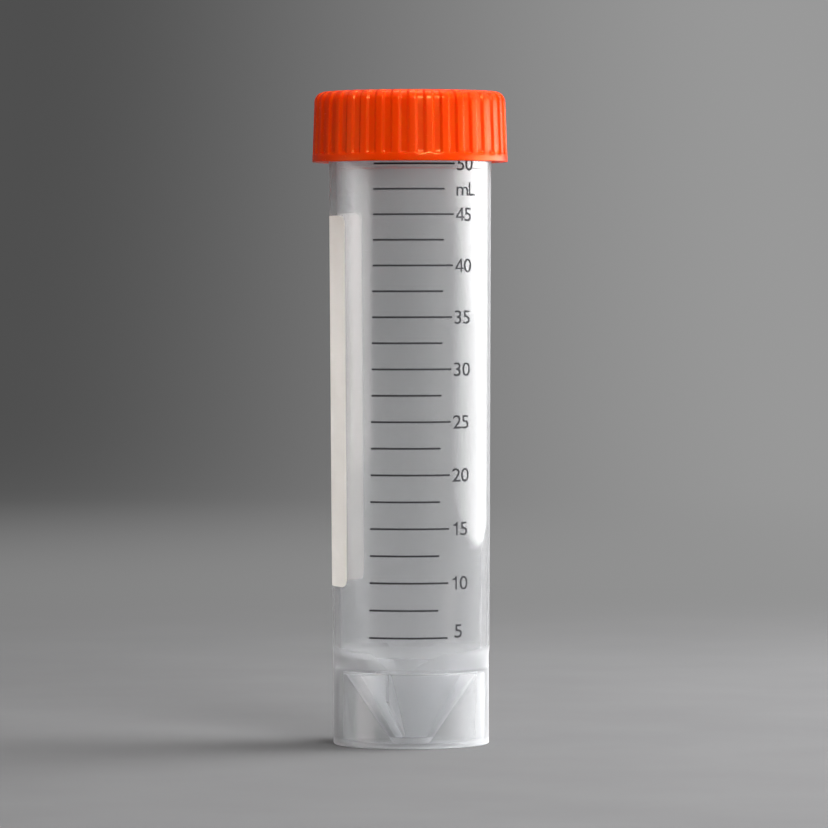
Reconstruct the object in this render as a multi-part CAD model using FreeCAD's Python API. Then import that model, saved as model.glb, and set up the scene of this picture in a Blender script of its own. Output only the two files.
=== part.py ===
"""A 50 ml self-standing conical centrifuge tube with its screw cap, in millimetres.

The tube is one polypropylene moulding: a slightly tapered cylinder with a conical bottom, carried by a
cylindrical skirt so that it stands by itself, and a neck with a single-start screw thread. The cap is one
moulding too: a fluted shell with a smooth flange, a flat top and a plug seal that enters the tube's mouth.

The origin is the centre of the ring that the skirt stands on, and +Z runs up the axis to the cap.
"""

import FreeCAD, Part

import math
import os

from FreeCAD import Vector

AXIS = Vector(0, 0, 1)
BASE = Vector(0, 0, 0)

# ---- tube: heights -------------------------------------------------------------------------------------
rim_height = 115.7  # sealing rim above the standing plane
neck_length = 12.3  # rim down to the step where the neck ends
skirt_length = 15.8  # straight part of the skirt
skirt_blend = 1.6  # length over which the skirt widens into the body
tip_gap = 0.6  # flat tip of the cone above the standing plane

# ---- tube: radii, walls and angles ---------------------------------------------------------------------
body_radius = 14.13  # outside, where the body starts above the skirt
body_draft = 0.29  # degrees, outside
body_wall_low = 1.42  # wall where the body starts
body_wall_rim = 1.23  # wall of the body's taper carried up to the rim
neck_step = 0.06  # how far the neck stands proud of the body
skirt_step = 0.12  # how far the skirt is inside the body's start
skirt_wall = 1.05
cone_half_angle = 34.6  # degrees from the axis
cone_wall = 1.0  # square to the cone's surface
floor_wall = 1.15  # under the flat of the tip
tip_radius = 3.22  # sharp edge of the tip's flat, outside
ceiling_land = 0.9  # flat ring between the skirt and the cone, seen from below
rim_chamfer = 0.3
foot_chamfer = 0.2
ceiling_chamfer = 0.4
tip_chamfer = 0.5

# ---- rib between the cone and the skirt ----------------------------------------------------------------
rib_turn = 251.5  # degrees from +X
rib_thickness = 0.6
rib_foot = 1.2  # standing plane to the rib's lower end, on the cone
rib_shoulder = 8.8  # standing plane to the rib's lower end, on the skirt
rib_root = 0.4  # how far a rib is rooted in the walls it joins

# ---- screw thread --------------------------------------------------------------------------------------
thread_lead = 4.0
thread_turns = 1.5
thread_depth = 0.95  # neck to crest
thread_base = 1.7  # width at the neck
thread_crest = 0.7  # width at the crest
thread_start_drop = 2.3  # rim down to the middle of the ridge's upper end
thread_sink = 0.3  # how far the ridge is rooted in the neck
thread_lead_in = 30.0  # degrees between the ridge's slanted ends and the neck's tangent

# ---- cap -----------------------------------------------------------------------------------------------
cap_height = 12.7
cap_top = 1.7  # thickness of the flat top
thread_room = 0.35  # thread crest to the cap's bore
cap_wall = 1.67  # bore to the outside, at the foot
cap_draft = 2.0  # degrees, outside
flange_height = 1.45  # smooth band below the flutes
cap_edge_round = 1.9  # between the side and the flat top
mouth_chamfer = 0.4  # lead-in at the cap's lower inner edge
edge_chamfer = 0.15  # the cap's lower outer edge
inner_chamfer = 0.5  # between the bore and the inside of the top
flute_count = 36
flute_turn = 6.5  # degrees from +X to the first flute
flute_depth = 0.42
flute_share = 0.6  # share of the pitch that a flute takes at the cap's surface
flute_flank = 40.0  # degrees between a flute's flank and the radius
land_flat = 0.03  # depth of the flats between the flutes
plug_depth = 2.8
plug_wall = 1.0
plug_clearance = 0.05  # seal bead to the mouth's wall
plug_relief = 0.3  # the plug's root inside the bead
plug_lead_in = 0.45  # the plug's lower edge inside its bead
plug_bead_drop = 1.6  # rim down to the bead's middle


def slope(degrees):
    return math.tan(math.radians(degrees))


# ---- sizes that follow ---------------------------------------------------------------------------------
body_start = skirt_length + skirt_blend
neck_start = rim_height - neck_length
skirt_radius = body_radius - skirt_step
skirt_inside = skirt_radius - skirt_wall
rim_body_radius = body_radius + (rim_height - body_start) * slope(body_draft)
neck_radius = body_radius + (neck_start - body_start) * slope(body_draft) + neck_step
thread_radius = neck_radius + thread_depth
bore_taper = (rim_body_radius - body_wall_rim - body_radius + body_wall_low) / (rim_height - body_start)
cap_bore = thread_radius + thread_room
cap_peak = rim_height + cap_top
cap_foot = cap_peak - cap_height
flute_start = cap_foot + flange_height


def bore_radius(height):
    """Inside radius of the tube's straight wall."""
    return body_radius - body_wall_low + (height - body_start) * bore_taper


def cap_radius(height):
    """Outside radius of the cap's side, between the flutes."""
    return cap_bore + cap_wall - (height - cap_foot) * slope(cap_draft)


def cone_outside(height):
    return tip_radius + (height - tip_gap) * slope(cone_half_angle)


def cone_inside(height):
    return cone_outside(height) - cone_wall / math.cos(math.radians(cone_half_angle))


def cone_top():
    """Height where the inside of the cone meets the straight wall."""
    rise = slope(cone_half_angle) - bore_taper
    return (bore_radius(0) - cone_inside(0)) / rise


def ceiling_height():
    """Height of the ring between the skirt and the cone."""
    return (skirt_inside - ceiling_land - cone_outside(0)) / slope(cone_half_angle)


def rounded_outline(corners):
    """A closed wire through corners (radius, height, rounding) in the XZ plane, with tangent arcs."""
    points = [Vector(r, 0, z) for r, z, _ in corners]
    trimmed = []
    for i, corner in enumerate(points):
        rounding = corners[i][2]
        back = (points[i - 1] - corner).normalize()
        ahead = (points[(i + 1) % len(points)] - corner).normalize()
        half = back.getAngle(ahead) / 2
        if rounding == 0:
            trimmed.append((corner, None, corner))
            continue
        reach = rounding / math.tan(half)
        centre = corner + (back + ahead).normalize() * (rounding / math.sin(half))
        middle = centre + (corner - centre).normalize() * rounding
        trimmed.append((corner + back * reach, middle, corner + ahead * reach))
    edges = []
    for i, (start, middle, end) in enumerate(trimmed):
        if middle is not None:
            edges.append(Part.Arc(start, middle, end).toShape())
        following = trimmed[(i + 1) % len(trimmed)][0]
        edges.append(Part.LineSegment(end, following).toShape())
    return Part.Wire(edges)


def turned(corners, start=0, sweep=360):
    """The solid that an outline makes when it turns about the axis."""
    face = Part.Face(rounded_outline(corners))
    face.rotate(BASE, AXIS, start)
    return face.revolve(BASE, AXIS, sweep)


# ---- tube ----------------------------------------------------------------------------------------------
def tube_shell():
    """The turned form of the tube: foot, skirt, body and neck outside, bore and cone inside."""
    ceiling = ceiling_height()
    floor = tip_gap + floor_wall
    neck_foot_radius = neck_radius - neck_step
    return turned(
        [
            (skirt_radius - foot_chamfer, 0, 0),
            (skirt_radius, foot_chamfer, 0),
            (skirt_radius, skirt_length, 0),
            (body_radius, body_start, 0),
            (neck_foot_radius, neck_start, 0),
            (neck_radius, neck_start + neck_step, 0),
            (neck_radius, rim_height - rim_chamfer, 0),
            (neck_radius - rim_chamfer, rim_height, 0),
            (bore_radius(rim_height) + rim_chamfer, rim_height, 0),
            (bore_radius(rim_height), rim_height - rim_chamfer, 0),
            (bore_radius(cone_top()), cone_top(), 0),
            (cone_inside(floor + tip_chamfer), floor + tip_chamfer, 0),
            (cone_inside(floor) - tip_chamfer, floor, 0),
            (0, floor, 0),
            (0, tip_gap, 0),
            (tip_radius - tip_chamfer, tip_gap, 0),
            (cone_outside(tip_gap + tip_chamfer), tip_gap + tip_chamfer, 0),
            (cone_outside(ceiling), ceiling, 0),
            (skirt_inside - ceiling_chamfer, ceiling, 0),
            (skirt_inside, ceiling - ceiling_chamfer, 0),
            (skirt_inside, foot_chamfer, 0),
            (skirt_inside + foot_chamfer, 0, 0),
        ]
    )


def end_cutter(height, angle, tilt):
    """A block whose slanted face ends the thread ridge at this angle, on the neck's surface."""
    reach = 4 * thread_depth
    block = Part.makeBox(reach, 2 * reach, 2 * reach, Vector(0, -reach, height - reach))
    block.rotate(BASE, AXIS, tilt)
    block.translate(Vector(neck_radius, 0, 0))
    block.rotate(BASE, AXIS, angle)
    return block


def thread_ridge():
    """The neck's single-start helical ridge, rooted a little inside the neck."""
    rise = thread_lead * thread_turns
    low = rim_height - thread_start_drop - rise
    helix = Part.makeHelix(thread_lead, rise, neck_radius)
    flank = (thread_base - thread_crest) / 2 / thread_depth
    half_root = thread_base / 2 + thread_sink * flank
    section = Part.makePolygon(
        [
            Vector(neck_radius - thread_sink, 0, -half_root),
            Vector(thread_radius, 0, -thread_crest / 2),
            Vector(thread_radius, 0, thread_crest / 2),
            Vector(neck_radius - thread_sink, 0, half_root),
            Vector(neck_radius - thread_sink, 0, -half_root),
        ]
    )
    ridge = Part.Wire(helix.Edges).makePipeShell([section], True, True)
    ridge.translate(Vector(0, 0, low))
    lower_end = end_cutter(low, 0, -thread_lead_in)
    upper_end = end_cutter(low + rise, 360 * thread_turns, thread_lead_in)
    return ridge.cut([lower_end, upper_end])


def support_rib():
    """The upright rib that ties the cone to the skirt, along +X."""
    cone_root = rib_root / math.cos(math.radians(cone_half_angle))
    skirt_root = skirt_inside + rib_root
    top = ceiling_height() + rib_root
    outline = [
        Vector(cone_outside(rib_foot) - cone_root, 0, rib_foot),
        Vector(skirt_root, 0, rib_shoulder),
        Vector(skirt_root, 0, top),
        Vector(cone_outside(top) - cone_root, 0, top),
    ]
    face = Part.Face(Part.makePolygon(outline + outline[:1]))
    face.translate(Vector(0, -rib_thickness / 2, 0))
    return face.extrude(Vector(0, rib_thickness, 0))


def make_tube():
    rib = support_rib()
    rib.rotate(BASE, AXIS, rib_turn)
    return tube_shell().fuse([thread_ridge(), rib]).removeSplitter()


# ---- cap -----------------------------------------------------------------------------------------------
def cap_shell():
    """The turned form of the cap, before its grip is cut: side, top, bore and plug seal."""
    bead = rim_height - plug_bead_drop
    bead_radius = bore_radius(bead) - plug_clearance
    plug_root_radius = bead_radius - plug_relief
    plug_inside = plug_root_radius - plug_wall
    plug_foot = rim_height - plug_depth
    return turned(
        [
            (cap_bore + mouth_chamfer, cap_foot, 0),
            (cap_radius(cap_foot) - edge_chamfer, cap_foot, 0),
            (cap_radius(cap_foot + edge_chamfer), cap_foot + edge_chamfer, 0),
            (cap_radius(cap_peak), cap_peak, 0),
            (0, cap_peak, 0),
            (0, rim_height, 0),
            (plug_inside, rim_height, 0),
            (plug_inside, plug_foot, 0),
            (bead_radius - plug_lead_in, plug_foot, 0),
            (bead_radius, bead, 0),
            (plug_root_radius, rim_height, 0),
            (cap_bore - inner_chamfer, rim_height, 0),
            (cap_bore, rim_height - inner_chamfer, 0),
            (cap_bore, cap_foot + mouth_chamfer, 0),
        ]
    )


def side_cutter(depth, half_width):
    """A bar along the cap's side at +X: it cuts a flat that runs up the side and rolls over the top edge."""
    low_radius = cap_radius(flute_start) - depth
    top_radius = cap_radius(cap_peak) - depth
    outside = cap_radius(cap_foot) + 1
    above = cap_peak + 1
    inner = top_radius - cap_edge_round
    corners = [
        (low_radius, flute_start, 0),
        (outside, flute_start, 0),
        (outside, above, 0),
        (inner, above, 0),
        (inner, cap_peak, 0),
        (top_radius, cap_peak, cap_edge_round),
    ]
    profile = Part.Face(rounded_outline(corners))
    profile.translate(Vector(0, -half_width, 0))
    return profile.extrude(Vector(0, 2 * half_width, 0))


def flute_cutter():
    """The bar for one flute, kept to a wedge whose flanks lean in with the cap's draft."""
    surface = cap_radius(flute_start)
    outside = surface + 2 * flute_depth
    half_open = math.radians(360 / flute_count) * flute_share * surface / 2
    half_floor = half_open - flute_depth * slope(flute_flank)
    half_out = half_open + 2 * flute_depth * slope(flute_flank)
    floor_radius = surface - flute_depth
    outline = [
        Vector(0, -half_floor, flute_start),
        Vector(floor_radius, -half_floor, flute_start),
        Vector(outside, -half_out, flute_start),
        Vector(outside, half_out, flute_start),
        Vector(floor_radius, half_floor, flute_start),
        Vector(0, half_floor, flute_start),
    ]
    lean = Vector(-slope(cap_draft), 0, 1) * cap_height
    wedge = Part.Face(Part.makePolygon(outline + outline[:1])).extrude(lean)
    return side_cutter(flute_depth, half_out).common(wedge)


def make_cap():
    pitch = 360 / flute_count
    half_pitch = math.radians(pitch) * cap_radius(flute_start) / 2
    flute = flute_cutter()
    land = side_cutter(land_flat, half_pitch)
    cutters = []
    for n in range(flute_count):
        for cutter, turn in ((flute, n), (land, n + 0.5)):
            placed = cutter.copy()
            placed.rotate(BASE, AXIS, flute_turn + turn * pitch)
            cutters.append(placed)
    return cap_shell().cut(cutters).removeSplitter()


def save(name, shape):
    solid = shape.Solids[0] if len(shape.Solids) == 1 else shape
    print(f"{name}: {len(shape.Solids)} solid, valid {solid.isValid()}, {solid.Volume / 1000:.3f} ml")
    solid.exportStep(f"parts/{name}.step")


os.makedirs("parts", exist_ok=True)
save("tube", make_tube())
save("cap", make_cap())
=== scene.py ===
"""Looks of the 50 ml conical tube: finer mouldings, the printed scale and patch, the cap's inner thread,
materials, light and camera.

Lengths are in mm and angles in degrees. Meshes, lamps, the camera and the stage's tones are in metres.
"""

import math

import bmesh
import bpy
import numpy as np
from mathutils import Matrix, Vector


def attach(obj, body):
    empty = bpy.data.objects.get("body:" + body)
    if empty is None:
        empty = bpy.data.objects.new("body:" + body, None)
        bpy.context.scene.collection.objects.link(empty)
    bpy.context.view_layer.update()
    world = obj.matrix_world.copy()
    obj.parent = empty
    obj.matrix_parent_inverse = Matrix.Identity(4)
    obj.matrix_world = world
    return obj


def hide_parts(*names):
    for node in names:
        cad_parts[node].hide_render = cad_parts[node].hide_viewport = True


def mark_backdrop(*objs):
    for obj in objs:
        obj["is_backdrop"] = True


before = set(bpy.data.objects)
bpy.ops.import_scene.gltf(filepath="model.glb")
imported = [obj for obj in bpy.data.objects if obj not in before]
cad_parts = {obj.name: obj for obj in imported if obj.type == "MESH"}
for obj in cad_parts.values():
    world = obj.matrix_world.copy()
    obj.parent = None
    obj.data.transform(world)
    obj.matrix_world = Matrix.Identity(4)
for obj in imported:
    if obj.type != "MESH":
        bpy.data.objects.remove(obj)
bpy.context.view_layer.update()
MM = 0.001

# ---- tube, as in the part's source ---------------------------------------------------------------------
rim_height = 115.7
neck_start = rim_height - 12.3
skirt_length = 15.8
body_start = 17.4
tip_gap = 0.6
body_radius = 14.13
body_draft = 0.29
body_wall_low = 1.42
body_wall_rim = 1.23
neck_step = 0.06
skirt_radius = 14.01
skirt_inside = 12.96
cone_half_angle = 34.6
cone_wall = 1.0
floor_wall = 1.15
tip_radius = 3.22
ceiling_land = 0.9
rib_turn = 251.5
rib_thickness = 0.6
rib_foot = 1.2
rib_shoulder = 8.8
rib_root = 0.4
thread_lead = 4.0
thread_turns = 1.5
thread_depth = 0.95
thread_base = 1.7
thread_crest = 0.7
thread_start_drop = 2.3
thread_lead_in = 9.0  # degrees over which a ridge rises to its full depth

# ---- tube roundings and mesh ---------------------------------------------------------------------------
rim_round = 0.4
foot_level = 0.01  # a hundredth above the bench, to stay inside the source's box
foot_round = 0.25
ceiling_round = 0.5
tip_round = 0.8
cone_top_round = 0.8
blend_round = 3.0
tube_columns = 192
tube_crease = 32.0  # faces that meet at a larger angle keep a sharp edge between them
ridge_steps = 96  # to a turn of thread
ridge_start_share = 0.02  # of the full depth, where a ridge starts and ends
ridge_shoulder = 0.85  # of a ridge's depth, where its crest starts to round

# ---- cap, as in the part's source ----------------------------------------------------------------------
cap_peak = 117.39  # a hundredth below the source's, to stay inside its box
cap_foot = 104.7
cap_bore = 15.925
cap_wall = 1.66  # a hundredth under the source's, for the same reason
cap_draft = 2.0
flange_height = 1.45
cap_edge_round = 1.9
cap_foot_round = 0.2
cap_crease = 40.0
mouth_chamfer = 0.4
flute_count = 36
flute_turn = 6.5
flute_depth = 0.42
flute_share = 0.6
flute_flank = 40.0
land_flat = 0.03
plug_depth = 2.8
plug_wall = 1.0
plug_clearance = 0.05
plug_relief = 0.3
plug_lead_in = 0.45
plug_bead_drop = 1.6
flute_start = cap_foot + flange_height

# ---- cap's inner thread --------------------------------------------------------------------------------
cap_thread_depth = 0.9
cap_thread_base = 1.6
cap_thread_crest = 0.6
cap_thread_drop = 1.25  # below the neck's ridge
cap_thread_turns = 1.4
cap_thread_start = 20.0
cap_thread_lead_in = 12.0

# ---- printed scale: volumes in ml, angles from the front towards +X ------------------------------------
mark_volume = 2.5
mark_count = 20
first_mark_height = 14.87  # where the first mark, 2.5 ml, would be; it isn't printed
line_width = 0.33
line_steps = 40
line_left = -32.0
line_long = 59.0
line_short = 51.5
print_lean = 0.065  # degrees of turn for each millimetre up
digit_height = 2.38
digit_start = 2.0  # degrees from a long line's end to its number
letter_step = 1.92
letter_width = 1.2
letter_inset = {"1": 0.35, "L": 0.95}
font_height = 0.69
font_bolder = 0.004
letter_strip = 0.1  # width of the strips that a character is cut into, for a height of 1
letter_widest = 1.6
ink_lift = 0.03

# ---- writing patch -------------------------------------------------------------------------------------
patch_left = -138.6
patch_right = -53.6
patch_foot = 28.6
patch_top = 95.1
patch_corner = 1.4
patch_rows = 60
patch_columns = 48
patch_corner_steps = 6


def slope(degrees):
    return math.tan(math.radians(degrees))


rim_body_radius = body_radius + (rim_height - body_start) * slope(body_draft)
bore_taper = (rim_body_radius - body_wall_rim - body_radius + body_wall_low) / (rim_height - body_start)
neck_radius = body_radius + (neck_start - body_start) * slope(body_draft) + neck_step


def bore_radius(height):
    return body_radius - body_wall_low + (height - body_start) * bore_taper


def body_outside(height):
    if height < body_start:
        return skirt_radius
    if height > neck_start:
        return neck_radius
    return body_radius + (height - body_start) * slope(body_draft)


def cap_radius(height):
    return cap_bore + cap_wall - (height - cap_foot) * slope(cap_draft)


def cone_outside(height):
    return tip_radius + (height - tip_gap) * slope(cone_half_angle)


def cone_inside(height):
    return cone_outside(height) - cone_wall / math.cos(math.radians(cone_half_angle))


cone_top = (bore_radius(0) - cone_inside(0)) / (slope(cone_half_angle) - bore_taper)
ceiling = (skirt_inside - ceiling_land - cone_outside(0)) / slope(cone_half_angle)
thread_foot = rim_height - thread_start_drop - thread_lead * thread_turns


# ---- mesh helpers --------------------------------------------------------------------------------------
def rounded(corners, fineness=12.0):
    """Points along an outline of (radius, height, rounding) corners.

    An arc is drawn in steps of fineness degrees at most.
    """
    points = []
    for i, (r, z, rounding) in enumerate(corners):
        corner = Vector((r, z))
        if rounding == 0:
            points.append(corner)
            continue
        back = (Vector(corners[i - 1][:2]) - corner).normalized()
        ahead = (Vector(corners[i + 1][:2]) - corner).normalized()
        half = back.angle(ahead) / 2
        centre = corner + (back + ahead).normalized() * (rounding / math.sin(half))
        start = corner + back * (rounding / math.tan(half)) - centre
        turn = start.angle_signed(corner + ahead * (rounding / math.tan(half)) - centre)
        steps = max(2, math.ceil(abs(math.degrees(turn)) / fineness))
        for k in range(steps + 1):
            spun = start.copy()
            spun.rotate(Matrix.Rotation(-turn * k / steps, 2))
            points.append(centre + spun)
    return points


def make_object(name, vertices, faces):
    mesh = bpy.data.meshes.new(name)
    mesh.from_pydata([Vector(v) * MM for v in vertices], [], faces)
    piece = bpy.data.objects.new(name, mesh)
    bpy.context.scene.collection.objects.link(piece)
    return piece


def grid_faces(rows, columns, closed=True):
    """Quads between rows of points, each row going round."""
    faces = []
    for i in range(rows - 1):
        for j in range(columns if closed else columns - 1):
            k = (j + 1) % columns
            faces.append((i * columns + j, i * columns + k, (i + 1) * columns + k, (i + 1) * columns + j))
    return faces


def turned(name, rings, angles):
    """A closed skin from rings; a ring gives the radius and height at each angle, and the ends are poles."""
    vertices = []
    for ring in rings[1:-1]:
        vertices += [(r * math.cos(a), r * math.sin(a), z) for (r, z), a in zip(ring, angles)]
    columns = len(angles)
    faces = grid_faces(len(rings) - 2, columns)
    first, last = len(vertices), len(vertices) + 1
    vertices += [(0, 0, rings[0][0][1]), (0, 0, rings[-1][0][1])]
    tail = (len(rings) - 3) * columns
    for j in range(columns):
        k = (j + 1) % columns
        faces.append((first, k, j))
        faces.append((last, tail + j, tail + k))
    return make_object(name, vertices, faces)


def face_outwards(piece):
    work = bmesh.new()
    work.from_mesh(piece.data)
    bmesh.ops.recalc_face_normals(work, faces=work.faces)
    work.to_mesh(piece.data)
    work.free()


def smooth(piece, degrees):
    piece.data.shade_smooth()
    piece.data.set_sharp_from_angle(angle=math.radians(degrees))


def helix_ridge(name, low, turns, start, section, lead_in):
    """A ridge along a right-handed helix. section gives (radius, height) points for a share of full depth."""
    steps = int(turns * ridge_steps)
    rows = []
    for k in range(steps + 1):
        turn = 360 * turns * k / steps
        share = min(1, turn / lead_in, (360 * turns - turn) / lead_in)
        share = max(ridge_start_share, math.sin(math.pi / 2 * share))
        a = math.radians(start + turn)
        z = low + thread_lead * turn / 360
        rows.append([(r * math.cos(a), r * math.sin(a), z + h) for r, h in section(share)])
    columns = len(rows[0])
    faces = grid_faces(len(rows), columns)
    faces += [tuple(range(columns)), tuple(range((len(rows) - 1) * columns, len(rows) * columns))]
    piece = make_object(name, [p for row in rows for p in row], faces)
    face_outwards(piece)
    return piece


def unite(piece, others):
    """Joins closed pieces into one skin and drops the originals."""
    bpy.context.view_layer.objects.active = piece
    for other in others:
        join = piece.modifiers.new("join", "BOOLEAN")
        join.operation = "UNION"
        join.solver = "EXACT"
        join.object = other
    graph = bpy.context.evaluated_depsgraph_get()
    mesh = bpy.data.meshes.new_from_object(piece.evaluated_get(graph))
    piece.modifiers.clear()
    piece.data = mesh
    for other in others:
        bpy.data.objects.remove(other)


# ---- tube ----------------------------------------------------------------------------------------------
def tube_outline():
    floor = tip_gap + floor_wall
    return rounded(
        [
            (0, floor, 0),
            (cone_inside(floor), floor, tip_round),
            (bore_radius(cone_top), cone_top, cone_top_round),
            (bore_radius(rim_height), rim_height, rim_round),
            (neck_radius, rim_height, rim_round),
            (neck_radius, neck_start + neck_step, 0),
            (neck_radius - neck_step, neck_start, 0),
            (body_radius, body_start, blend_round),
            (skirt_radius, skirt_length, blend_round),
            (skirt_radius, foot_level, foot_round),
            (skirt_inside, foot_level, foot_round),
            (skirt_inside, ceiling, ceiling_round),
            (cone_outside(ceiling), ceiling, ceiling_round),
            (tip_radius, tip_gap, tip_round),
            (0, tip_gap, 0),
        ]
    )


def rib():
    """The thin wall between cone and skirt, let into both of them and into the ceiling."""
    cone_root = rib_root / math.cos(math.radians(cone_half_angle))
    skirt_root = skirt_inside + rib_root
    top = ceiling + rib_root
    outline = [
        (cone_outside(rib_foot) - cone_root, rib_foot),
        (skirt_root, rib_shoulder),
        (skirt_root, top),
        (cone_outside(top) - cone_root, top),
    ]
    spin = Matrix.Rotation(math.radians(rib_turn), 3, "Z")
    vertices = [spin @ Vector((r, side * rib_thickness / 2, z)) for side in (-1, 1) for r, z in outline]
    faces = [(0, 1, 2, 3), (7, 6, 5, 4)]
    faces += [(k, (k + 1) % 4, (k + 1) % 4 + 4, k + 4) for k in range(4)]
    piece = make_object("rib", vertices, faces)
    face_outwards(piece)
    return piece


def neck_section(share):
    """The neck's ridge, rooted in the wall, with its crest's edges eased."""
    root, depth, ease = 0.3, thread_depth * share, 0.12
    half_base, half_crest = thread_base / 2, thread_crest / 2
    flank = (half_base - half_crest) / thread_depth
    half_top = half_base - flank * depth
    shoulder = half_top + flank * depth * (1 - ridge_shoulder)
    return [
        (neck_radius - root, -half_base),
        (neck_radius, -half_base),
        (neck_radius + depth * ridge_shoulder, -shoulder),
        (neck_radius + depth, -half_top + ease),
        (neck_radius + depth, half_top - ease),
        (neck_radius + depth * ridge_shoulder, shoulder),
        (neck_radius, half_base),
        (neck_radius - root, half_base),
    ]


def on_rib(point):
    """Whether a point is on the rib's sides or lower edge, clear of the walls that it joins."""
    turn, clear = math.radians(rib_turn), 0.05
    along = point.x * math.cos(turn) + point.y * math.sin(turn)
    across = point.y * math.cos(turn) - point.x * math.sin(turn)
    if not rib_foot < point.z < ceiling - clear:
        return False
    return abs(across) < rib_thickness * 0.6 and cone_outside(point.z) + clear < along < skirt_inside - clear


def make_tube():
    angles = [2 * math.pi * (j + 0.5) / tube_columns for j in range(tube_columns)]
    rings = [[(p.x, p.y)] * tube_columns for p in tube_outline()]
    piece = turned("tube_moulding", rings, angles)
    face_outwards(piece)
    ridge = helix_ridge("ridge", thread_foot, thread_turns, 0, neck_section, thread_lead_in)
    unite(piece, [rib(), ridge])
    smooth(piece, tube_crease)
    return piece


# ---- cap -----------------------------------------------------------------------------------------------
def flute_columns():
    """(angle in degrees, depth) round the cap: flat floors, slanted flanks and flat lands, edges eased."""
    pitch = 360 / flute_count
    half_open = pitch * flute_share / 2
    half_floor = half_open - math.degrees(flute_depth * slope(flute_flank) / cap_radius(flute_start))
    half = [  # from the floor's middle, over its eased edge and the land's, to the land
        (0, flute_depth),
        (half_floor * 0.6, flute_depth),
        (half_floor - 0.22, flute_depth - 0.004),
        (half_floor + 0.02, flute_depth - 0.035),
        (half_floor + 0.22, flute_depth - 0.10),
        (half_open - 0.28, land_flat + 0.125),
        (half_open - 0.05, land_flat + 0.055),
        (half_open + 0.15, land_flat + 0.022),
        (half_open + 0.45, land_flat + 0.004),
        (half_open + 1.1, land_flat),
    ]
    one = [(-a, d) for a, d in reversed(half[1:])] + half + [(pitch / 2, land_flat)]
    return [(flute_turn + n * pitch + a, d) for n in range(flute_count) for a, d in one]


def cap_outside():
    """(radius, height, share of the flute's depth) down the cap's outside, from the top's middle."""
    top, foot = cap_radius(cap_peak), cap_radius(cap_foot)
    arc = rounded([(0, cap_peak, 0), (top, cap_peak, cap_edge_round), (foot, cap_foot, 0)], fineness=8)
    rows = [(0, cap_peak, 0), (6, cap_peak, 0), (top - cap_edge_round - 0.9, cap_peak, 0)]
    rows += [(p.x, p.y, 1) for p in arc[1:-1]]
    for height in (cap_peak - 4, cap_peak - 6.5, cap_peak - 9, flute_start + 0.6):
        rows.append((cap_radius(height), height, 1))
    steps, half_fade = 6, 0.10  # the flutes end within a tenth of a millimetre above and below flute_start
    for k in range(steps + 1):
        share = (1 + math.cos(math.pi * k / steps)) / 2
        height = flute_start + half_fade * (steps / 2 - k) / (steps / 2)
        rows.append((cap_radius(height), height, share))
    rows.append((cap_radius(flute_start - 0.5), flute_start - 0.5, 0))
    edge = rounded(
        [(cap_radius(flute_start), flute_start, 0), (foot, cap_foot, cap_foot_round), (0, cap_foot, 0)]
    )
    rows += [(p.x, p.y, 0) for p in edge[1:-1]]
    return rows


def cap_inside():
    """Outline of the cap's inside, from the foot to the middle of its ceiling."""
    bead = rim_height - plug_bead_drop
    bead_radius = bore_radius(bead) - plug_clearance
    plug_root = bead_radius - plug_relief
    plug_inside = plug_root - plug_wall
    plug_foot = rim_height - plug_depth
    outline = rounded(
        [
            (cap_bore + 1, cap_foot, 0),
            (cap_bore, cap_foot, mouth_chamfer),
            (cap_bore, rim_height, 0.5),
            (plug_root, rim_height, 0.15),
            (bead_radius, bead, 0.4),
            (bead_radius - plug_lead_in, plug_foot, 0.2),
            (plug_inside, plug_foot, 0.3),
            (plug_inside, rim_height, 0.3),
            (0, rim_height, 0),
        ],
        fineness=15,
    )
    return [(p.x, p.y) for p in outline[1:]]


def make_cap():
    columns = flute_columns()
    angles = [math.radians(a) for a, _ in columns]
    rings = [[(r - d * share, z) for _, d in columns] for r, z, share in cap_outside()]
    rings += [[point] * len(columns) for point in cap_inside()]
    piece = turned("cap_moulding", rings, angles)
    face_outwards(piece)
    smooth(piece, cap_crease)
    return piece


def cap_section(share):
    """The cap's inner ridge, rooted in its wall."""
    root, depth, ease = 0.4, cap_thread_depth * share, 0.1
    half_base, half_crest = cap_thread_base / 2, cap_thread_crest / 2
    half_top = half_base - (half_base - half_crest) * share
    shoulder = half_top + (half_base - half_top) * (1 - ridge_shoulder)
    return [
        (cap_bore + root, half_base),
        (cap_bore, half_base),
        (cap_bore - depth * ridge_shoulder, shoulder),
        (cap_bore - depth, half_top - ease),
        (cap_bore - depth, -half_top + ease),
        (cap_bore - depth * ridge_shoulder, -shoulder),
        (cap_bore, -half_base),
        (cap_bore + root, -half_base),
    ]


def make_cap_thread():
    low = thread_foot - cap_thread_drop
    piece = helix_ridge(
        "cap_inner_thread", low, cap_thread_turns, cap_thread_start, cap_section, cap_thread_lead_in
    )
    smooth(piece, cap_crease)
    return piece


# ---- print ---------------------------------------------------------------------------------------------
def on_wall(angle, height):
    """A point of the ink's outer face; the angle is in degrees from the front towards +X."""
    r = body_outside(height) + ink_lift
    a = math.radians(angle)
    return (r * math.sin(a), -r * math.cos(a), height)


def mark_heights():
    """Height of each mark, from the bore's volume above the first."""
    heights = [first_mark_height]
    for _ in range(mark_count - 1):
        start = heights[-1]
        step = mark_volume * 1000 / (math.pi * bore_radius(start) ** 2)
        heights.append(start + mark_volume * 1000 / (math.pi * bore_radius(start + step / 2) ** 2))
    return heights


def lean(height):
    """Degrees by which the print has turned at a height."""
    return print_lean * (height - first_mark_height)


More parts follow.
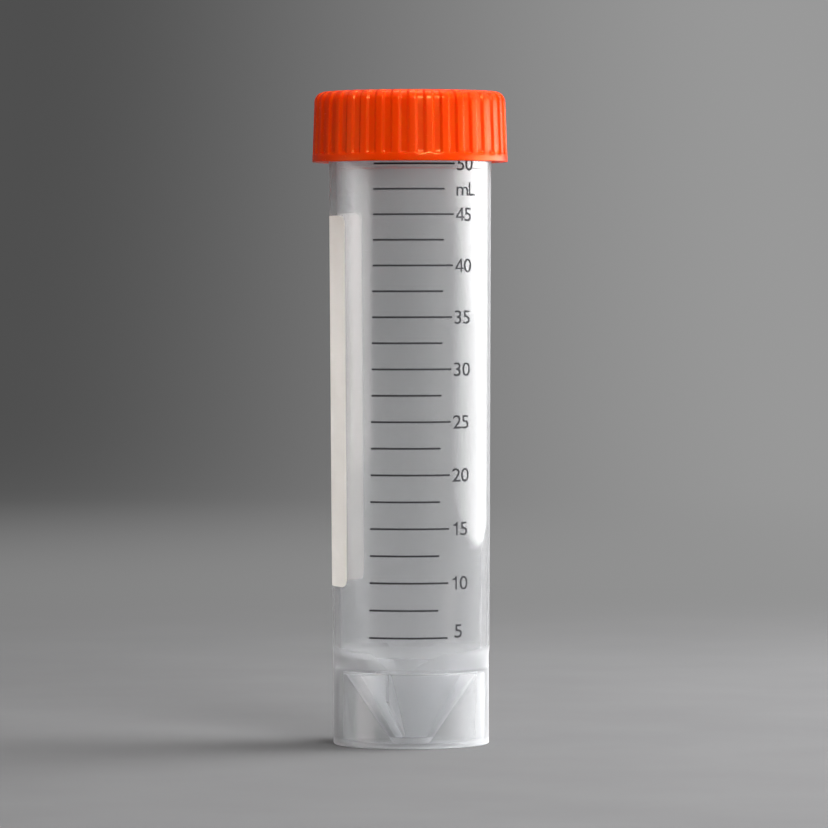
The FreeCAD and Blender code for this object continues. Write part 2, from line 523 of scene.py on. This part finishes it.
def scale_lines():
    """A line for each mark but the first; every second one is long."""
    vertices, faces = [], []
    for n, height in enumerate(mark_heights()[1:], 2):
        length = line_long if n % 2 == 0 else line_short
        first = len(vertices)
        for k in range(line_steps + 1):
            angle = line_left + lean(height) + length * k / line_steps
            for side in (-0.5, 0.5):
                vertices.append(on_wall(angle, height + side * line_width))
        for k in range(line_steps):
            a = first + 2 * k
            faces.append((a, a + 2, a + 3, a + 1))
    return make_object("scale_lines", vertices, faces)


def drawn(shapes):
    """Flat mesh of polygons given by their corners; corners in the same place are one."""
    work = bmesh.new()
    for points in shapes:
        work.faces.new([work.verts.new((x, y, 0)) for x, y in points])
    bmesh.ops.remove_doubles(work, verts=work.verts, dist=0.001)
    return work


def figure_one():
    """A figure with a flag, where the font's is a bare stem."""
    outline = [(0, 0.72), (0, 0.81), (0.20, 0.87), (0.28, 1), (0.40, 1), (0.40, 0), (0.27, 0), (0.27, 0.72)]
    return drawn([outline])


def figure_four():
    """A figure with an open counter, where the font's fills in."""
    low, high = 0.22, 0.335  # of the bar
    left, right, end = 0.49, 0.63, 0.80  # of the stem, and the bar's right end
    inner, inner_top = 0.16, 0.77  # where the slanted stroke's inner edge meets the bar and the stem
    return drawn(
        [
            [(0, high), (inner, high), (left, inner_top), (left, 1)],
            [(left, high), (right, high), (right, 1), (left, 1), (left, inner_top)],
            [(0, low), (left, low), (left, high), (inner, high), (0, high)],
            [(left, low), (right, low), (right, high), (left, high)],
            [(right, low), (end, low), (end, high), (right, high)],
            [(left, 0), (right, 0), (right, low), (left, low)],
        ]
    )


def letter(text):
    """Flat mesh of one character, with its left edge at zero, for a height of 1."""
    if text == "1":
        return figure_one()
    if text == "4":
        return figure_four()
    curve = bpy.data.curves.new("text", "FONT")
    curve.body = text
    curve.resolution_u = 6
    curve.offset = font_bolder
    holder = bpy.data.objects.new("text", curve)
    bpy.context.scene.collection.objects.link(holder)
    graph = bpy.context.evaluated_depsgraph_get()
    mesh = bpy.data.meshes.new_from_object(holder.evaluated_get(graph))
    bpy.data.objects.remove(holder)
    work = bmesh.new()
    work.from_mesh(mesh)
    left = min(v.co.x for v in work.verts)
    for v in work.verts:
        v.co = Vector(((v.co.x - left) * letter_width, v.co.y, 0)) / font_height
    return work


def wrapped_text(text, angle, baseline):
    """Characters cut into narrow strips and laid on the wall, each a step to the right of the last.

    A text that starts with a space is a single figure, which stands half a step further left.
    """
    vertices, faces = [], []
    radius = body_outside(baseline)
    for n, character in enumerate(text):
        if character == " ":
            continue
        work = letter(character)
        start = n * letter_step + letter_inset.get(character, 0)
        if text[0] == " ":
            start -= letter_step / 2
        bmesh.ops.remove_doubles(work, verts=work.verts, dist=0.001)
        for cut in np.arange(letter_strip, letter_widest, letter_strip):
            everything = list(work.verts) + list(work.edges) + list(work.faces)
            bmesh.ops.bisect_plane(work, geom=everything, plane_co=(cut, 0, 0), plane_no=(1, 0, 0))
        work.verts.index_update()
        for face in work.faces:
            faces.append(tuple(v.index + len(vertices) for v in face.verts))
        for v in work.verts:
            turn = math.degrees((start + v.co.x * digit_height) / radius)
            vertices.append(on_wall(angle + turn, baseline + v.co.y * digit_height))
        work.free()
    return vertices, faces


def scale_numbers():
    """A number at the right of each long line, and the unit beside the line below the highest."""
    heights = mark_heights()
    words = [("mL", heights[-2], heights[-2] - digit_height / 2)]
    for n in range(2, mark_count + 1, 2):
        height = heights[n - 1]
        baseline = height if n == 2 else height - digit_height / 2
        words.append((f"{n * mark_volume:2.0f}", height, baseline))
    vertices, faces = [], []
    for text, height, baseline in words:
        angle = line_left + lean(height) + line_long + digit_start
        more, shapes = wrapped_text(text, angle, baseline)
        faces += [tuple(i + len(vertices) for i in shape) for shape in shapes]
        vertices += more
    return make_object("scale_numbers", vertices, faces)


def writing_patch():
    """A sheet of white ink round the left side, with rounded corners."""
    angles = [math.pi / 2 * k / patch_corner_steps for k in range(patch_corner_steps + 1)]
    corner = [patch_corner * (1 - math.cos(a)) for a in angles]
    even = [patch_foot + (patch_top - patch_foot) * (k / patch_rows) for k in range(patch_rows + 1)]
    heights = [patch_foot + c for c in corner]
    heights += [h for h in even if patch_foot + patch_corner < h < patch_top - patch_corner]
    heights += [patch_top - c for c in reversed(corner)]
    vertices = []
    for height in heights:
        inset = 0
        near = min(height - patch_foot, patch_top - height)
        if near < patch_corner:
            inset = patch_corner - math.sqrt(max(0, patch_corner**2 - (patch_corner - near) ** 2))
        turn = math.degrees(inset / body_outside(height))
        for j in range(patch_columns + 1):
            angle = patch_left + turn + (patch_right - patch_left - 2 * turn) * j / patch_columns
            vertices.append(on_wall(angle, height))
    return make_object("writing_patch", vertices, grid_faces(len(heights), patch_columns + 1, closed=False))


# ---- the tube's plastic, by height in mm ---------------------------------------------------------------
haze_by_height = [  # share that each surface scatters
    (0.2, 0.9),
    (0.5, 0.4),
    (1.4, 0.15),
    (13.6, 0.15),
    (14.1, 0.28),
    (16.8, 0.20),
    (17.9, 0.046),
]
blur_by_height = [(14.0, 0.03), (18.4, 0.12)]  # share of the clear part that is seen blurred
table_reach = 20.0  # the height that the two tables are scaled to
tip_haze = 0.85  # of the tip's flat floor, where the plastic is thickest
tip_haze_radius = (4.2, 3.8)  # from none to full
tip_haze_height = (2.1, 1.8)
haze_colour = (0.90, 0.91, 0.93, 1)
rib_haze = 0.7  # the thin rib's haze, to the rest of the tube's
rib_blur = 0.8


# ---- stage, in metres: tones that the camera sees of its far parts, darker at the left as painted shade and lighter at the right as painted light ---
floor_tone_painted_shade = (0.21, 0.31)
floor_painted_shade_reach = 0.2  # the painted shade goes over to painted light from left to right within this distance from the middle
wall_tone_painted_shade = (0.078, 0.32)
wall_painted_shade_reach = 0.18
paint_painted_shading = (0.75, 1.35)  # of the paint's grey, at the left and at the right, as painted shade and painted light
paint_painted_shading_reach = 0.35
paint_to_tone = (0.15, 0.5)  # distance from the axis over which paint gives way to the plain tones
floor_to_wall = (0.5, 1.3)


# ---- materials -----------------------------------------------------------------------------------------
def new_material(name):
    material = bpy.data.materials.new(name)
    material.use_nodes = True
    return material, material.node_tree.nodes, material.node_tree.links


def noise(nodes, links, scale, detail=4.0):
    place = nodes.new("ShaderNodeTexCoord")
    texture = nodes.new("ShaderNodeTexNoise")
    texture.inputs["Scale"].default_value = scale
    texture.inputs["Detail"].default_value = detail
    texture.inputs["Roughness"].default_value = 0.55
    links.new(place.outputs["Object"], texture.inputs["Vector"])
    return texture


def spread(nodes, links, source, low, high):
    """Noise stretched over a range; most of it lies between 0.3 and 0.7."""
    ranged = nodes.new("ShaderNodeMapRange")
    ranged.inputs["From Min"].default_value = 0.3
    ranged.inputs["From Max"].default_value = 0.7
    ranged.inputs["To Min"].default_value = low
    ranged.inputs["To Max"].default_value = high
    links.new(source, ranged.inputs["Value"])
    return ranged.outputs["Result"]


def two_colours(nodes, links, source, first, second):
    ramp = nodes.new("ShaderNodeValToRGB")
    ramp.color_ramp.elements[0].position = 0.35
    ramp.color_ramp.elements[0].color = (*first, 1)
    ramp.color_ramp.elements[1].position = 0.65
    ramp.color_ramp.elements[1].color = (*second, 1)
    links.new(source, ramp.inputs["Fac"])
    return ramp.outputs["Color"]


def bump(nodes, links, source, strength, distance):
    """A normal that follows the noise; the distance is in millimetres."""
    raised = nodes.new("ShaderNodeBump")
    raised.inputs["Strength"].default_value = strength
    raised.inputs["Distance"].default_value = distance * MM
    links.new(source, raised.inputs["Height"])
    return raised.outputs["Normal"]


def eased(nodes, links, source, start, end, low=0.0, high=1.0):
    """A smooth step from low at start to high at end."""
    step = nodes.new("ShaderNodeMapRange")
    step.interpolation_type = "SMOOTHSTEP"
    step.inputs["From Min"].default_value = start
    step.inputs["From Max"].default_value = end
    step.inputs["To Min"].default_value = low
    step.inputs["To Max"].default_value = high
    links.new(source, step.inputs["Value"])
    return step.outputs["Result"]


def calculated(nodes, links, operation, first, second):
    """The outcome of an operation on two numbers, given as such or as outputs of nodes."""
    node = nodes.new("ShaderNodeMath")
    node.operation = operation
    for socket, value in zip(node.inputs, (first, second)):
        if isinstance(value, (int, float)):
            socket.default_value = value
        else:
            links.new(value, socket)
    return node.outputs["Value"]


def mixed(nodes, links, first, second, share):
    """Two shaders mixed by a share, given as a number or as an output of a node."""
    mix = nodes.new("ShaderNodeMixShader")
    if isinstance(share, float):
        mix.inputs["Fac"].default_value = share
    else:
        links.new(share, mix.inputs["Fac"])
    links.new(first, mix.inputs[1])
    links.new(second, mix.inputs[2])
    return mix.outputs["Shader"]


def translucent(nodes, colour):
    shader = nodes.new("ShaderNodeBsdfTranslucent")
    shader.inputs["Color"].default_value = colour
    return shader.outputs["BSDF"]


def position(nodes, links):
    """Outputs for X, for Z and for the distance from the axis, in metres."""
    where = nodes.new("ShaderNodeNewGeometry").outputs["Position"]
    parts = nodes.new("ShaderNodeSeparateXYZ")
    links.new(where, parts.inputs["Vector"])
    flat = nodes.new("ShaderNodeVectorMath")
    flat.operation = "MULTIPLY"
    flat.inputs[1].default_value = (1, 1, 0)
    links.new(where, flat.inputs[0])
    length = nodes.new("ShaderNodeVectorMath")
    length.operation = "LENGTH"
    links.new(flat.outputs["Vector"], length.inputs[0])
    return parts.outputs["X"], parts.outputs["Z"], length.outputs["Value"]


def by_height(nodes, links, level, values):
    """A table of (height in mm, value), looked up by the level in metres."""
    height = nodes.new("ShaderNodeMapRange")
    height.inputs["From Max"].default_value = table_reach * MM
    links.new(level, height.inputs["Value"])
    ramp = nodes.new("ShaderNodeValToRGB")
    elements = ramp.color_ramp.elements
    while len(elements) < len(values):
        elements.new(1)
    for element, (z, value) in zip(elements, values):
        element.position = z / table_reach
        element.color = (value, value, value, 1)
    links.new(height.outputs["Result"], ramp.inputs["Fac"])
    return ramp.outputs["Color"]


def polypropylene(name, haze_share=1.0, blur_share=None):
    """Natural, slightly milky polypropylene: clear moulding with haze in it.

    The haze at a surface is 1 - exp(-depth / cosine), so that it grows where the plastic is seen edge on.
    """
    material, nodes, links = new_material(name)
    fine = noise(nodes, links, 900)
    broad = noise(nodes, links, 55, detail=2)
    tint = two_colours(nodes, links, broad.outputs["Fac"], (0.955, 0.962, 0.97), (0.965, 0.972, 0.98))
    normal = bump(nodes, links, broad.outputs["Fac"], 0.01, 0.05)
    clear = nodes["Principled BSDF"]
    wide = nodes.new("ShaderNodeBsdfPrincipled")
    for shader, low, high in ((clear, 0.035, 0.06), (wide, 0.50, 0.58)):
        shader.inputs["Transmission Weight"].default_value = 1.0
        shader.inputs["IOR"].default_value = 1.49
        links.new(tint, shader.inputs["Base Color"])
        links.new(spread(nodes, links, fine.outputs["Fac"], low, high), shader.inputs["Roughness"])
        links.new(normal, shader.inputs["Normal"])
    milk = nodes.new("ShaderNodeBsdfDiffuse")
    milk.inputs["Color"].default_value = haze_colour
    haze = mixed(nodes, links, translucent(nodes, haze_colour), milk.outputs["BSDF"], 0.5)

    _, level, radius = position(nodes, links)
    blur = by_height(nodes, links, level, blur_by_height) if blur_share is None else blur_share
    glassy = mixed(nodes, links, clear.outputs["BSDF"], wide.outputs["BSDF"], blur)
    inner = eased(nodes, links, radius, *(r * MM for r in tip_haze_radius), 0.0, tip_haze)
    lower = eased(nodes, links, level, *(z * MM for z in tip_haze_height))
    tip = calculated(nodes, links, "MULTIPLY", inner, lower)
    here = calculated(nodes, links, "MAXIMUM", by_height(nodes, links, level, haze_by_height), tip)
    uneven = spread(nodes, links, broad.outputs["Fac"], haze_share * 0.9, haze_share * 1.1)
    depth = calculated(nodes, links, "MULTIPLY", uneven, here)
    facing = nodes.new("ShaderNodeLayerWeight")
    facing.inputs["Blend"].default_value = 0.5
    cosine = calculated(nodes, links, "SUBTRACT", 1.03, facing.outputs["Facing"])  # never quite 0
    left = calculated(nodes, links, "POWER", math.exp(-1), calculated(nodes, links, "DIVIDE", depth, cosine))
    share = calculated(nodes, links, "SUBTRACT", 1, left)
    links.new(mixed(nodes, links, glassy, haze, share), nodes["Material Output"].inputs["Surface"])
    return material


def orange_plastic():
    material, nodes, links = new_material("orange_polyethylene_moulded")
    plastic = nodes["Principled BSDF"]
    broad = noise(nodes, links, 90, detail=3)
    fine = noise(nodes, links, 2600, detail=3)
    colour = two_colours(nodes, links, broad.outputs["Fac"], (0.92, 0.053, 0.0), (0.96, 0.061, 0.0))
    links.new(colour, plastic.inputs["Base Color"])
    links.new(spread(nodes, links, fine.outputs["Fac"], 0.20, 0.28), plastic.inputs["Roughness"])
    links.new(bump(nodes, links, fine.outputs["Fac"], 0.2, 0.01), plastic.inputs["Normal"])
    plastic.inputs["IOR"].default_value = 1.5
    plastic.inputs["Specular IOR Level"].default_value = 0.55
    plastic.inputs["Specular Tint"].default_value = (1, 0.85, 0.25, 1)
    plastic.inputs["Subsurface Weight"].default_value = 0.7
    plastic.inputs["Subsurface Radius"].default_value = (1, 0.3, 0.1)
    plastic.inputs["Subsurface Scale"].default_value = 1.5 * MM
    whole = mixed(nodes, links, plastic.outputs["BSDF"], translucent(nodes, (0.88, 0.11, 0.01, 1)), 0.25)
    links.new(whole, nodes["Material Output"].inputs["Surface"])
    return material


def black_ink():
    material, nodes, links = new_material("scale_ink_printed")
    ink = nodes["Principled BSDF"]
    grain = noise(nodes, links, 4200, detail=2)
    colour = two_colours(nodes, links, grain.outputs["Fac"], (0.022, 0.022, 0.026), (0.045, 0.045, 0.05))
    links.new(colour, ink.inputs["Base Color"])
    links.new(spread(nodes, links, grain.outputs["Fac"], 0.45, 0.65), ink.inputs["Roughness"])
    ink.inputs["Specular IOR Level"].default_value = 0.2
    return material


def white_ink():
    material, nodes, links = new_material("patch_ink_printed")
    ink = nodes["Principled BSDF"]
    grain = noise(nodes, links, 3200, detail=3)
    broad = noise(nodes, links, 160, detail=2)
    colour = two_colours(nodes, links, broad.outputs["Fac"], (0.93, 0.87, 0.79), (0.96, 0.905, 0.83))
    links.new(colour, ink.inputs["Base Color"])
    links.new(spread(nodes, links, grain.outputs["Fac"], 0.6, 0.8), ink.inputs["Roughness"])
    links.new(bump(nodes, links, grain.outputs["Fac"], 0.4, 0.02), ink.inputs["Normal"])
    whole = mixed(nodes, links, ink.outputs["BSDF"], translucent(nodes, (0.98, 0.935, 0.88, 1)), 0.65)
    links.new(whole, nodes["Material Output"].inputs["Surface"])
    return material


def stage_paint():
    """Lit paint round the object, and emitted tones further off, in clear plastic and gloss as well. Both are
    darker at the left and lighter at the right, as painted shade and painted light.
    """
    material, nodes, links = new_material("stage_paint")
    paint = nodes["Principled BSDF"]
    grain = noise(nodes, links, 25, detail=3)
    across, _, radius = position(nodes, links)
    grey = two_colours(nodes, links, grain.outputs["Fac"], (0.146, 0.146, 0.148), (0.154, 0.154, 0.156))
    # The paint's grey is scaled darker at the left and lighter at the right: painted shade and painted light
    # on top of the lamps' own light.
    toned = nodes.new("ShaderNodeVectorMath")
    toned.operation = "SCALE"
    links.new(grey, toned.inputs[0])
    links.new(eased(nodes, links, across, -paint_painted_shading_reach, paint_painted_shading_reach, *paint_painted_shading), toned.inputs["Scale"])
    links.new(toned.outputs["Vector"], paint.inputs["Base Color"])
    paint.inputs["Specular IOR Level"].default_value = 0

    # The emitted floor and wall tones are darker at the left and lighter at the right: painted shade and
    # painted light that follow the key lamp at the right.
    tone = nodes.new("ShaderNodeMix")
    links.new(eased(nodes, links, radius, *floor_to_wall), tone.inputs[0])
    links.new(eased(nodes, links, across, -floor_painted_shade_reach, floor_painted_shade_reach, *floor_tone_painted_shade), tone.inputs[2])
    links.new(eased(nodes, links, across, -wall_painted_shade_reach, wall_painted_shade_reach, *wall_tone_painted_shade), tone.inputs[3])
    plain = nodes.new("ShaderNodeEmission")
    links.new(tone.outputs[0], plain.inputs["Color"])
    ray = nodes.new("ShaderNodeLightPath")
    seen = calculated(nodes, links, "MAXIMUM", ray.outputs["Is Camera Ray"], ray.outputs["Is Glossy Ray"])
    seen = calculated(nodes, links, "MAXIMUM", seen, ray.outputs["Is Transmission Ray"])
    share = calculated(nodes, links, "MULTIPLY", seen, eased(nodes, links, radius, *paint_to_tone))
    whole = mixed(nodes, links, paint.outputs["BSDF"], plain.outputs["Emission"], share)
    links.new(whole, nodes["Material Output"].inputs["Surface"])
    return material


# ---- pieces --------------------------------------------------------------------------------------------
def add(piece, material, body, node=None):
    """Gives a piece its only material and its body, and hides the CAD node that it stands in for."""
    piece.data.materials.clear()
    piece.data.materials.append(material)
    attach(piece, body)
    if node:
        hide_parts(node)
    return piece


clear_plastic = polypropylene("natural_polypropylene_moulded")
thin_plastic = polypropylene("natural_polypropylene_thin", rib_haze, rib_blur)
orange, black, white = orange_plastic(), black_ink(), white_ink()
tube = add(make_tube(), clear_plastic, "tube", "tube")
tube.data.materials.append(thin_plastic)
for face in tube.data.polygons:
    if on_rib(face.center / MM):
        face.material_index = 1
add(make_cap(), orange, "cap", "cap")
add(make_cap_thread(), orange, "cap")
add(scale_lines(), black, "tube")
add(scale_numbers(), black, "tube")
add(writing_patch(), white, "tube")
for node, material in (("tube", clear_plastic), ("cap", orange)):
    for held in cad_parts[node].material_slots:
        held.material = material


# ---- stage, light and camera ---------------------------------------------------------------------------
wall_radius, wall_height, wall_round = 1700, 1500, 600
stage_rows = (300, 900, 1090)


def make_stage():
    """A round floor that sweeps up to a wall on every side."""
    floor = [(r, 0, 0) for r in (0, *stage_rows)]
    outline = rounded([*floor, (wall_radius, 0, wall_round), (wall_radius, wall_height, 0)], fineness=5)
    columns = 96
    angles = [2 * math.pi * j / columns for j in range(columns)]
    vertices = [(0, 0, 0)]
    for p in outline[1:]:
        vertices += [(p.x * math.cos(a), p.x * math.sin(a), p.y) for a in angles]
    faces = [tuple(i + 1 for i in face) for face in grid_faces(len(outline) - 1, columns)]
    faces += [(0, 1 + (j + 1) % columns, 1 + j) for j in range(columns)]
    piece = make_object("stage", vertices, faces)
    piece.data.shade_smooth()
    piece.data.materials.append(stage_paint())
    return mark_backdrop(piece)


both_walls = 4  # surfaces that a ray passes on its way through the tube
white_light, warm, faintly_warm = (1, 1, 1), (1, 0.88, 0.80), (1, 0.92, 0.88)
everywhere = "matte gloss through"


def softbox(name, place, aim, size, power, soft, colour=white_light, seen=everywhere, through_share=1.0):
    """A rectangular diffuser, in metres, that fades over the outer part of its width and height.

    seen names what it lights or shows in: matte surfaces, gloss, and clear plastic that it is seen through.
    through_share is how much of it shows straight through clear plastic, without a bounce off anything.
    A lamp that is for clear plastic only goes by the surfaces passed: what comes through the patch as well
    as both walls has passed one more than the walls alone, and keeps its full strength.
    """
    light = bpy.data.lights.new(name, "AREA")
    light.shape = "RECTANGLE"
    light.size, light.size_y = size
    light.energy = power
    light.color = colour
    light.use_nodes = True
    nodes, links = light.node_tree.nodes, light.node_tree.links
    parts = nodes.new("ShaderNodeSeparateXYZ")
    links.new(nodes.new("ShaderNodeNewGeometry").outputs["Parametric"], parts.inputs["Vector"])
    strength = 1.0
    for axis, share in zip("XY", soft):
        from_edge = calculated(nodes, links, "PINGPONG", parts.outputs[axis], 0.5)
        strength = calculated(nodes, links, "MULTIPLY", eased(nodes, links, from_edge, 0, share), strength)
    if through_share < 1:
        ray = nodes.new("ShaderNodeLightPath")
        bounced = calculated(nodes, links, "ADD", ray.outputs["Diffuse Depth"], ray.outputs["Glossy Depth"])
        unbounced = calculated(nodes, links, "LESS_THAN", bounced, 0.5)
        if seen == "through":
            passed = ray.outputs["Transmission Depth"]
            through = calculated(nodes, links, "LESS_THAN", passed, both_walls + 0.5)
        else:
            through = ray.outputs["Is Transmission Ray"]
        straight = calculated(nodes, links, "MULTIPLY", through, unbounced)
        lost = calculated(nodes, links, "MULTIPLY", straight, 1 - through_share)
        kept = calculated(nodes, links, "SUBTRACT", 1.0, lost)
        strength = calculated(nodes, links, "MULTIPLY", strength, kept)
    links.new(strength, nodes["Emission"].inputs["Strength"])
    lamp = bpy.data.objects.new(name, light)
    lamp.location = place
    lamp.rotation_euler = (Vector(aim) - Vector(place)).to_track_quat("-Z", "Y").to_euler()
    lamp.visible_camera = False
    lamp.visible_diffuse = "matte" in seen
    lamp.visible_glossy = "gloss" in seen
    lamp.visible_transmission = "through" in seen
    bpy.context.scene.collection.objects.link(lamp)


make_stage()
# The key stands at the right as three lamps, a centimetre apart because lamps in one plane hide each other.
key = dict(aim=(0, 0, 0.45), size=(1.3, 1.6), power=78, soft=(0.5, 0.5))
softbox("key", (0.58, 0.16, 0.45), **key, seen="matte")
softbox("key_through", (0.56, 0.154, 0.45), **key, seen="through", through_share=0.06)
softbox("edge", (0.57, 0.157, 0.035), (0, 0, 0.035), (1.3, 0.28), 9, (0.5, 0.2), seen="gloss")
middle = (0, 0, 0.06)
softbox("fill", (0.40, -0.9, 0.6), middle, (0.5, 0.5), 18, (0.3, 0.3))
softbox("side", (-0.95, -0.25, 0.35), middle, (0.9, 0.9), 4.5, (0.3, 0.3), warm, "matte through", 0.3)
low_place, low_aim = (-0.95, -0.25, 0.055), (0, 0, 0.055)
softbox("low", low_place, low_aim, (0.9, 0.14), 0.95, (0.3, 0.2), faintly_warm, "gloss through", 0.3)
softbox("top", (0.10, 0.1, 1.10), middle, (0.8, 0.8), 7, (0.3, 0.3))

world = bpy.data.worlds.new("studio")
world.use_nodes = True
world.node_tree.nodes["Background"].inputs["Color"].default_value = (0.8, 0.8, 0.8, 1)
world.node_tree.nodes["Background"].inputs["Strength"].default_value = 0.8
bpy.context.scene.world = world

camera_place = Vector((0.00063, -0.990, 0.084))  # in metres
camera_aim = Vector((0.00063, 0, 0.0594))
camera_roll = -0.12
lens = bpy.data.cameras.new("camera")
lens.lens = 238.9
lens.sensor_width = 36
lens.clip_start, lens.clip_end = 0.05, 10
camera = bpy.data.objects.new("camera", lens)
bpy.context.scene.collection.objects.link(camera)
camera.location = camera_place
look = (camera_aim - camera_place).to_track_quat("-Z", "Y")
camera.rotation_mode = "QUATERNION"
camera.rotation_quaternion = look @ Matrix.Rotation(math.radians(camera_roll), 3, "Z").to_quaternion()
bpy.context.scene.camera = camera
bpy.context.scene.cycles.max_bounces = 24
bpy.context.scene.cycles.transmission_bounces = 24
bpy.context.scene.view_settings.view_transform = "Standard"
